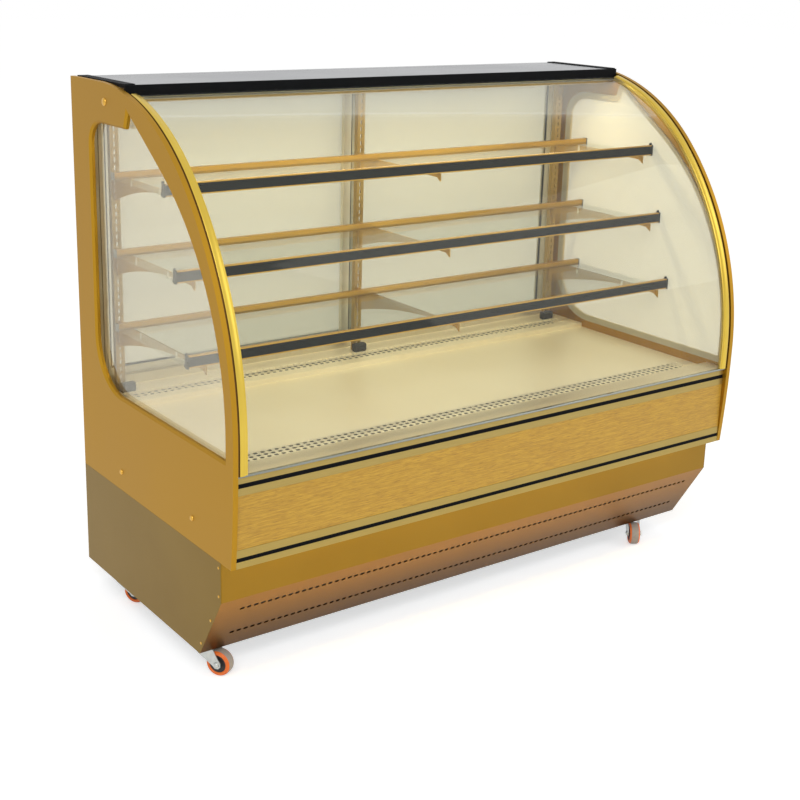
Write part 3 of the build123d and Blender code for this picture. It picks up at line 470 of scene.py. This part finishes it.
def sill_finish():
    """Champagne face, and the pale stainless capping of the deck on the flat top behind the glass."""
    finish = Finish("sill")
    depth, height = finish.axis("Y"), finish.axis("Z")
    lines = finish.brushing((80.0, 1.0, 1.0))
    face = finish.blend(lines, colour(152, 130, 66), colour(178, 156, 92))
    capping = finish.blend(lines, colour(230, 214, 178), colour(246, 234, 206))
    on_top = (height > (sill_top - 0.4) * metres) * (depth > (slide[1] + 1.0) * metres)
    return finish.shade(finish.blend(on_top, face, capping), lines * 0.12 + 0.3, 0.7, lines, 0.00005)


def oak_grain():
    """Oak with its grain along the length: fine fibres, darker pores and slow cathedral waves."""
    finish = Finish("oak")
    wave = finish.noise(0.03, 3.0, 0.55, (16.0, 1.0, 1.0))
    fibre = finish.noise(0.0016, 4.0, 0.7, (26.0, 1.0, 1.0), 2.0)
    pore = finish.noise(0.0011, 2.0, 0.5, (18.0, 1.0, 1.0), 5.0)
    year_rings = abs((wave * 13.0) % 1.0 - 0.5) * 2.0
    pale = finish.blend(fibre.step(0.3, 0.7), colour(180, 136, 40), colour(208, 164, 56))
    ringed = finish.blend(year_rings.step(0.6, 1.0) * 0.35, pale, colour(164, 120, 44))
    pores = pore.step(0.56, 0.7)
    mixed = finish.blend(pores * 0.5, ringed, colour(132, 90, 30))
    return finish.shade(mixed, fibre * 0.2 + 0.38, 0.0, fibre - pores * 0.6, 0.0002)


dress("front_sill", sill_finish())
dress("lower_front_rail", champagne)
dress("wood_panel", oak_grain())
ribbed = []
for groove_top, groove_height in grooves:
    low, high = groove_top - groove_height + groove_gap, groove_top - groove_gap
    rib = (high - low) * crest_share
    outline = [(back_face, low), (shaved, low), (crest, low + rounded), (crest, low + rib - rounded),
               (shaved, low + rib), (valley, low + rib + flank), (valley, high - rib - flank),
               (shaved, high - rib), (crest, high - rib + rounded), (crest, high - rounded),
               (shaved, high), (back_face, high)]
    ribbed.append(bar(outline, -strip_end, strip_end))
piece("ribbed_strips", ribbed, [black_trim], stands_for=("front_strips",))
bead = [(-0.1, 521.5), (-5.0, 522.0), (-7.0, 523.5), (-7.4, 525.5), (-6.6, sill_top), (-0.1, sill_top)]
piece("glass_bead", [bar(bead, -strip_end, strip_end)], [grey_bead])

# Insulated well, deck and grilles: a coated tub with a brushed stainless deck on it. The two
# grilles are stainless sheet punched with three rows of short obround holes.

white_liner = sheen("white_liner", colour(232, 226, 206), colour(214, 206, 184), 0.4)
stainless = brushed("stainless", colour(252, 242, 214), colour(238, 224, 188), 0.34, (50.0, 1.0, 1.0), 0.35)
# Painted shade: a dark finish for the sheets that darken what shows through the grille holes.
painted_shade = sheen("painted_shade", colour(44, 24, 18), colour(28, 14, 12), 0.7)
dress("insulated_well", white_liner)
dress("deck_pan", stainless)
grille_end = 713.5
grille_sheet = 1.5
hole_pitch, row_pitch, holes = 18.0, 14.6, 78
hole_half_length, hole_half_width = 5.4, 4.8
hole_rows = (-1, 0, 1)
shade_inset, shade_lap, shade_drop, shade_thickness = 12.0, 2.0, 4.0, 1.0
one_hole = holed(hole_pitch, row_pitch, hole_half_length, hole_half_width, grille_sheet)

# Each grille: its front and rear edges, the middle of its rows and its underside.
for name, front, rear, middle, base in (("front", 60.3, 154.3, 107.3, 513.2),
                                        ("rear", 542.0, 618.0, 593.0, 524.4)):
    places = [((i - (holes - 1) / 2) * hole_pitch, middle + row * row_pitch, base)
              for row in hole_rows for i in range(holes)]
    top = base + grille_sheet
    reach = holes * hole_pitch / 2
    first, last = (middle + side * len(hole_rows) / 2 * row_pitch for side in (-1, 1))
    plates = [repeated(one_hole, places), box(-grille_end, grille_end, front, first, base, top),
              box(-grille_end, grille_end, last, rear, base, top),
              box(-grille_end, -reach, first, last, base, top),
              box(reach, grille_end, first, last, base, top)]
    piece(f"{name}_punched_grille", plates, [stainless],
          stands_for=(f"{name}_air_grille",))
    # A thin dark sheet of painted shade under each grille, seen through its holes.
    shade_end, shade_low = grille_end - shade_inset, base - shade_drop
    shade = box(-shade_end, shade_end, first - shade_lap, last + shade_lap, shade_low, shade_low + shade_thickness)
    piece(f"{name}_painted_shade_sheet", [shade], [painted_shade])

# Shelves: satin gold rails with dark inserts and moulded end caps, clear panes, and sheet brackets
# hooked into slotted uprights, with plastic lamp sockets at their feet.

shelf_gold = brushed("shelf_gold", colour(204, 160, 66), colour(176, 134, 48), 0.3, (60.0, 1.0, 1.0), 0.8)
upright_gold = brushed("upright_gold", colour(176, 146, 76), colour(150, 120, 56), 0.3, (1.0, 1.0, 60.0), 0.8)
socket_plastic = sheen("socket_plastic", colour(44, 40, 38), colour(26, 24, 23), 0.5)
cap_grey = sheen("cap_grey", colour(126, 122, 110), colour(96, 92, 84), 0.4)
clip_clear = sheen("clip_clear", colour(240, 232, 206), colour(222, 212, 184), 0.3)
bracket_gold = sheen("bracket_gold", colour(184, 142, 52), colour(166, 124, 40), 0.4, 0.25)
dress("shelf_brackets", bracket_gold)
dress("shelf_front_rails", shelf_gold)
dress("shelf_rear_rails", shelf_gold)
dress("shelf_rail_strips", black_trim)
dress("cable_sockets", socket_plastic)
upright_x = 690.0
upright_y = 640.0
upright_half, upright_depth, upright_wall = 11.0, 14.0, 1.6
upright_low, upright_high = 524.4, 1262.0
link_pitch, links, link_half_width, link_half_height = 18.0, 40, 2.6, 6.0
plain_top = 8.0
links_high = upright_high - plain_top
links_low = links_high - links * link_pitch
web_rear = upright_y + upright_wall
flat_link, link_faces = holed(upright_half * 2, link_pitch, link_half_width, link_half_height, upright_wall)
standing = (np.stack([flat_link[:, 0], web_rear - flat_link[:, 2], flat_link[:, 1]], -1), link_faces)
webs = []
for x in (-upright_x, 0.0, upright_x):
    left, right = x - upright_half, x + upright_half
    webs.append(repeated(standing, [(x, 0.0, links_low + (i + 0.5) * link_pitch) for i in range(links)]))
    webs.append(box(left, right, upright_y, web_rear, upright_low, links_low))
    webs.append(box(left, right, upright_y, web_rear, links_high, upright_high))
    for wall in (left, right - upright_wall):
        flange_rear = upright_y + upright_depth
        webs.append(box(wall, wall + upright_wall, web_rear, flange_rear, upright_low, upright_high))
piece("slotted_uprights", webs, [upright_gold], stands_for=("shelf_uprights",))

# Each shelf: the front of its front rail and its level. Its rails and pane reach 1 mm below the level.
shelf_levels = ((307.0, 1051.0), (261.0, 873.6), (214.0, 698.6))
rail_end = 728.1
front_cap, rear_cap = 4.1, 2.5
clip_half, clip_depth, clip_height = 3.4, 3.0, 15.0
clip_shares = (0.3, 0.72)
caps, rear_caps, clips = [], [], []
for front, height in shelf_levels:
    low, high = height - 1.0, height + 25.6
    hooked = [(front - 0.6, low - 1.5), (front - 0.6, high + 0.4), (front + 5.0, high + 0.4),
              (front + 5.0, high + 5.0), (front + 8.0, high + 6.0), (front + 11.0, high + 4.0),
              (front + 11.0, low + 9.0), (front + 15.0, low + 6.0), (front + 15.0, low + 2.0),
              (front + 9.4, low - 1.5)]
    capped = [(559.0, low - 1.0), (559.0, low + 17.0), (573.0, low + 17.0), (573.0, low - 1.0)]
    for side in (-1.0, 1.0):
        caps.append(bar(hooked, side * rail_end, side * (rail_end + front_cap)))
        rear_caps.append(bar(capped, side * rail_end, side * (rail_end + rear_cap)))
        for share in clip_shares:
            x, y = side * upright_x, front + share * (upright_y - front)
            clips.append(box(x - clip_half, x + clip_half, y - clip_depth, y + clip_depth,
                             low - clip_height, low - 0.1))
piece("shelf_end_caps", caps, [black_trim])
piece("rear_rail_caps", rear_caps, [cap_grey])
piece("bracket_clips", clips, [clip_clear])


def pane(name, through, body, gloss, milk_and_painted_light, right_painted_reflection=None):
    """Glass: clear and tinted by through, with a share of milky body colour, under mirror reflections that
    grow towards a grazing view. On the door panes that milky share is painted warm light. The half at the
    right end can have a milky share of its own, which is a painted reflection."""
    finish = Finish(name)
    dirt = finish.noise(0.3, 3.0, 0.5)
    film = finish.node("BsdfPrincipled", {}, {"Base Color": body, "Roughness": dirt * 0.1 + 0.4})
    clear = finish.node("BsdfTransparent", {}, {"Color": through})
    if right_painted_reflection is not None:
        # The right half takes its own milky share, a painted reflection.
        milk_and_painted_light = (finish.axis("X") > 0.0) * (right_painted_reflection - milk_and_painted_light) + milk_and_painted_light
    filled = finish.node("MixShader", {}, {0: milk_and_painted_light, 1: clear, 2: film})
    silver = {"Base Color": (0.9, 0.9, 0.86, 1.0), "Metallic": 1.0, "Roughness": 0.03}
    mirror = finish.node("BsdfPrincipled", {}, silver)
    rim = finish.node("LayerWeight", {}, {"Blend": 0.12}, "Fresnel")
    share = (rim * gloss + 0.01).clamp()
    return finish.show(finish.node("MixShader", {}, {0: share, 1: filled, 2: mirror}))


clear_glass = pane("clear_glass", (0.985, 0.99, 0.965, 1.0), colour(232, 236, 222), 0.35, 0.015)
dress("shelf_glasses", clear_glass)

# Rear doors: two sliding panes in satin aluminium frames with black gaskets, in an extruded frame
# with two tracks.


def jamb_finish():
    """Satin aluminium, with the dark joint lines of its sections down both jambs."""
    finish = Finish("jamb_aluminium")
    jamb_start, joint_pitch, joint_width = 703.5, 9.0, 2.2
    lines = finish.brushing((1.0, 1.0, 60.0))
    side = abs(finish.axis("X"))
    joint = ((side * 1000.0) % joint_pitch < joint_width) * (side > jamb_start * metres)
    plain = finish.blend(lines, colour(190, 178, 146), colour(222, 212, 182))
    jointed = finish.blend(joint, plain, colour(74, 68, 58))
    return finish.shade(jointed, lines * 0.12 + 0.28, 0.7, lines, 0.00005)


leaf_aluminium = brushed("leaf_aluminium", colour(226, 220, 198), colour(204, 196, 170), 0.28,
                         (1.0, 1.0, 60.0), 0.5)
# The door panes' milky cream film is painted warm light.
door_glass_painted_light = pane("door_glass_painted_light", (0.96, 0.95, 0.88, 1.0), colour(208, 204, 178), 0.4, 0.4)
dress("rear_door_frame", jamb_finish())
gasket_width, gasket_inset, gasket_rise = 4.0, 10.5, 1.2
for name in ("left", "right"):
    dress(f"door_{name}_frame", leaf_aluminium)
    dress(f"door_{name}_glass", door_glass_painted_light)
    low, high = (np.array(corner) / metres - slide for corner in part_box(f"door_{name}_glass"))
    x0, y0, z0 = low + (gasket_inset, -gasket_rise, gasket_inset)
    x1, y1, z1 = high - (gasket_inset, -gasket_rise, gasket_inset)
    gasket = [box(x0 - gasket_width, x0, y0, y1, z0, z1), box(x1, x1 + gasket_width, y0, y1, z0, z1),
              box(x0, x1, y0, y1, z0 - gasket_width, z0), box(x0, x1, y0, y1, z1, z1 + gasket_width)]
    piece(f"door_{name}_gasket", gasket, [black_trim], f"door_{name}")

# End panes and the bent front pane: clear float glass. The front one is held between bright curved
# edge profiles, each with a dark groove beside the end panel, and hangs in the head rail.

belly_height = 266.0
sweep_ratio = 1.1
sweep_share = 0.75
turn = math.asin(sweep_share / sweep_ratio)
belly_z = seam + belly_height
belly_radius = (belly_height ** 2 + belly ** 2) / (2 * belly)
sweep_radius = sweep_ratio * (case_height - belly_z)
sweep_top_z = belly_z + sweep_radius * math.sin(turn)
crown_radius = (case_height - sweep_top_z) / (1 - math.sin(turn))
belly_centre = np.array((belly_radius - belly, belly_z))
sweep_centre = np.array((sweep_radius - belly, belly_z))
crown_centre = sweep_centre + (sweep_radius - crown_radius) * np.array((-math.cos(turn), math.sin(turn)))
head_rail_front = 451.9


def front_line(low_z, high_y, steps=20):
    """Points and outward directions up the front edge of the end panels: three arcs that run into each
    other, each point c + R (-cos a, sin a) for the angle a above straight ahead."""
    low = math.asin((low_z - belly_z) / belly_radius)
    high = math.acos((crown_centre[0] - high_y) / crown_radius)
    arcs = [(belly_centre, belly_radius, low, 0.0), (sweep_centre, sweep_radius, 0.0, turn),
            (crown_centre, crown_radius, turn, high)]
    angles = [np.linspace(start, end, steps, endpoint=end == high) for _, _, start, end in arcs]
    out = [np.stack([-np.cos(a), np.sin(a)], -1) for a in angles]
    at = [centre + radius * way for (centre, radius, _, _), way in zip(arcs, out)]
    return np.concatenate(at), np.concatenate(out)


def edge_finish():
    """Bright yellow gold, with brown beside the end panel and black in the groove between them."""
    finish = Finish("edge_gold")
    brown_start, groove_start = (0.7322, 0.7334), (0.7352, 0.7360)
    side = abs(finish.axis("X"))
    cloud = finish.noise(0.12, 2.0, 0.5)
    streak = finish.noise(0.004, 2.0, 0.5, (1.0, 30.0, 30.0))
    gold = finish.blend(cloud, colour(198, 166, 58), colour(220, 192, 82))
    brown = finish.blend(streak, colour(120, 88, 44), colour(150, 114, 60))
    banded = finish.blend(side.step(*brown_start), gold, brown)
    mixed = finish.blend(side.step(*groove_start), banded, colour(60, 44, 26))
    return finish.shade(mixed, streak * 0.12 + 0.24, 0.8, streak, 0.00003)


# The right end pane's larger milky share is a painted reflection.
side_glass = pane("side_glass", (0.98, 0.975, 0.95, 1.0), colour(238, 230, 200), 0.3, 0.04, right_painted_reflection=0.45)
dress("end_glasses", side_glass)
dress("front_glass", clear_glass)

# The section of an edge profile, as distance from the case's middle and height above the outline.
edge_section = np.array([(737.4, -14.6), (737.4, -2.6), (735.6, -2.6), (735.0, -4.2), (733.6, -4.2),
                         (733.0, -1.6), (731.0, -0.8), (727.0, -0.5), (722.0, -0.9), (719.4, -1.8),
                         (718.4, -3.8), (713.6, -4.0), (713.6, -10.0), (718.0, -14.6)])
edge_at, edge_out = front_line(sill_top + gap, head_rail_front)
strips = []
for side in (-1.0, 1.0):
    flat = edge_at[:, None] + edge_out[:, None] * edge_section[None, :, 1:]
    beside = np.broadcast_to(side * edge_section[:, 0], flat.shape[:2])[..., None]
    strips.append(solid(np.concatenate([beside, flat], 2)))
piece("front_edge_profiles", strips, [edge_finish()], stands_for=("glass_edge_profiles",))


def rail_finish():
    """Head rail: champagne with a dark upper line and a gold lower edge."""
    finish = Finish("head_rail")
    gold_end, dark_start = (1.2375, 1.2385), (1.2490, 1.2500)
    height = finish.axis("Z")
    lines = finish.brushing((60.0, 1.0, 1.0))
    body = finish.blend(lines, colour(150, 136, 98), colour(182, 174, 142))
    lower = finish.blend(height.step(*gold_end), colour(176, 142, 66), body)
    mixed = finish.blend(height.step(*dark_start), lower, colour(84, 70, 42))
    return finish.shade(mixed, lines * 0.1 + 0.3, 0.7, lines, 0.00004)


dress("glass_head_rail", rail_finish())

# Lamps: strips of warm white diodes under a frosted cover, pressed into the pocket of the head rail
# and behind the bottom lip.

lamp = Finish("lamp")
grain = lamp.noise(0.004, 2.0)
warm = lamp.blend(grain, colour(255, 222, 120), colour(255, 228, 136))
dress("led_strips", lamp.shade(warm, 0.5, 0.0, grain, 0.0001, emission_color=warm, emission_strength=14.0))

# Top: a flat pane of grey back painted glass between two dark strips at its ends, with a dark
# aluminium angle along its front edge.

top_glass = sheen("top_glass", colour(98, 102, 107), colour(90, 94, 98), 0.12, 0.0, 0.4, 0.00001,
                  specular_ior_level=0.25)
dress("top_panel", top_glass)
dress("top_profile", black_trim)

# Cooling set and controls, behind the louvres: black compressor, bare aluminium coils, galvanised
# fan shroud and moulded fans; the controller and its switches show at the rear.

coil_fins = sheen("coil_fins", colour(196, 198, 198), colour(150, 152, 152), 0.3, 0.9, 0.01)
dress("compressor", black_enamel)
dress("condenser_coil", coil_fins)
dress("evaporator_coil", coil_fins)
dress("condenser_fan_shroud", galvanised)
for node in ("condenser_fan", "evaporator_fan", "controller_box", "inlet_gland", "power_switch",
             "light_switch"):
    dress(node, socket_plastic)

# Stage: a pale floor that keeps the shadow, a white surround for the camera, for mirrors and for
# glass, and soft studio light.


def looked_at(nodes):
    """1 for what the camera sees, also in a mirror or through glass, and 0 for light on the case."""
    rays = ("Is Camera Ray", "Is Glossy Ray", "Is Transmission Ray")
    return sum(nodes.node("LightPath", {}, {}, ray) for ray in rays).clamp()


pale, paler, white = (0.80, 0.80, 0.80, 1.0), (0.82, 0.82, 0.82, 1.0), (1.0, 1.0, 1.0, 1.0)
paint = Finish("floor_paint")
matt = paint.node("BsdfDiffuse", {}, {"Color": paint.blend(paint.noise(0.5, 2.0), pale, paler)})
lift = paint.node("Emission", {}, {"Color": white, "Strength": looked_at(paint) * 0.5})
floor_reach = 30.0
floor_mesh = bpy.data.meshes.new("floor")
floor_corners = [(-floor_reach, -floor_reach, 0.0), (floor_reach, -floor_reach, 0.0),
                 (floor_reach, floor_reach, 0.0), (-floor_reach, floor_reach, 0.0)]
floor_mesh.from_pydata(floor_corners, [], [(0, 1, 2, 3)])
floor_mesh.materials.append(paint.show(paint.node("AddShader", {}, {0: matt, 1: lift})))
floor = new_object("floor", floor_mesh)

world = bpy.data.worlds.new("studio")
world.use_nodes = True
bpy.context.scene.world = world
studio = Nodes(world.node_tree)
light_level, seen_level = 0.62, 1.0
level = looked_at(studio) * (seen_level - light_level) + light_level
surround = studio.node("Background", {}, {"Color": white, "Strength": level})
studio.node("OutputWorld", {}, {"Surface": surround})


def facing(back):
    """The sideways and upright axes of a thing whose back points along back: z x b, then b x right."""
    right = np.cross((0.0, 0.0, 1.0), back)
    right /= np.linalg.norm(right)
    return right, np.cross(back, right)


def placed_at(right, up, back, place):
    """The matrix of a thing that stands at a place with its three axes given."""
    rows = [(right[i], up[i], back[i], place[i]) for i in range(3)]
    return Matrix([*rows, (0.0, 0.0, 0.0, 1.0)])


def softbox(name, place, target, size, power, tint=(1.0, 1.0, 1.0)):
    """A rectangular area lamp aimed at a point."""
    light = bpy.data.lights.new(name, "AREA")
    light.shape = "RECTANGLE"
    light.size, light.size_y = size
    light.energy = power
    light.color = tint
    back = np.array(place) - np.array(target)
    back /= np.linalg.norm(back)
    new_object(name, light).matrix_world = placed_at(*facing(back), back, place)


softbox("key", (-3.2, -3.6, 4.4), (0.0, 0.0, 0.7), (3.0, 3.0), 120.0)
softbox("fill", (3.5, -3.0, 2.6), (0.0, 0.0, 0.6), (3.0, 3.0), 40.0)
softbox("shelf_light", (0.0, 0.125, 1.225), (0.0, 0.02, 0.5), (1.3, 0.04), 3.0, (1.0, 0.93, 0.8))
softbox("lip_light", (0.0, -0.331, 0.3185), (0.0, -0.316, 0.28), (1.4, 0.01), 0.7, (1.0, 0.78, 0.25))

# Camera: it stands where the photograph was taken from, with the picture's slight tilt and its
# frame off centre, as they were worked out from straight edges of the case.

azimuth = math.radians(-36.01)
elevation = math.radians(15.80)
roll = math.radians(1.45)
focal_pixels = 1343.1
principal = (384.38, 342.93)
picture = 800.0
sensor = 36.0
station = (-1.99367, -2.58936, 1.53470)
back = np.array([math.sin(azimuth) * math.cos(elevation), -math.cos(azimuth) * math.cos(elevation),
                 math.sin(elevation)])
right, up = facing(back)
turned_right = math.cos(roll) * right + math.sin(roll) * up
turned_up = math.cos(roll) * up - math.sin(roll) * right
lens = bpy.data.cameras.new("camera")
lens.sensor_width = sensor
lens.lens = focal_pixels / picture * sensor
lens.shift_x = (picture / 2 - principal[0]) / picture
lens.shift_y = (principal[1] - picture / 2) / picture
camera = new_object("camera", lens)
camera.matrix_world = placed_at(turned_right, turned_up, back, station)
bpy.context.scene.camera = camera
bpy.context.scene.view_settings.view_transform = "Standard"
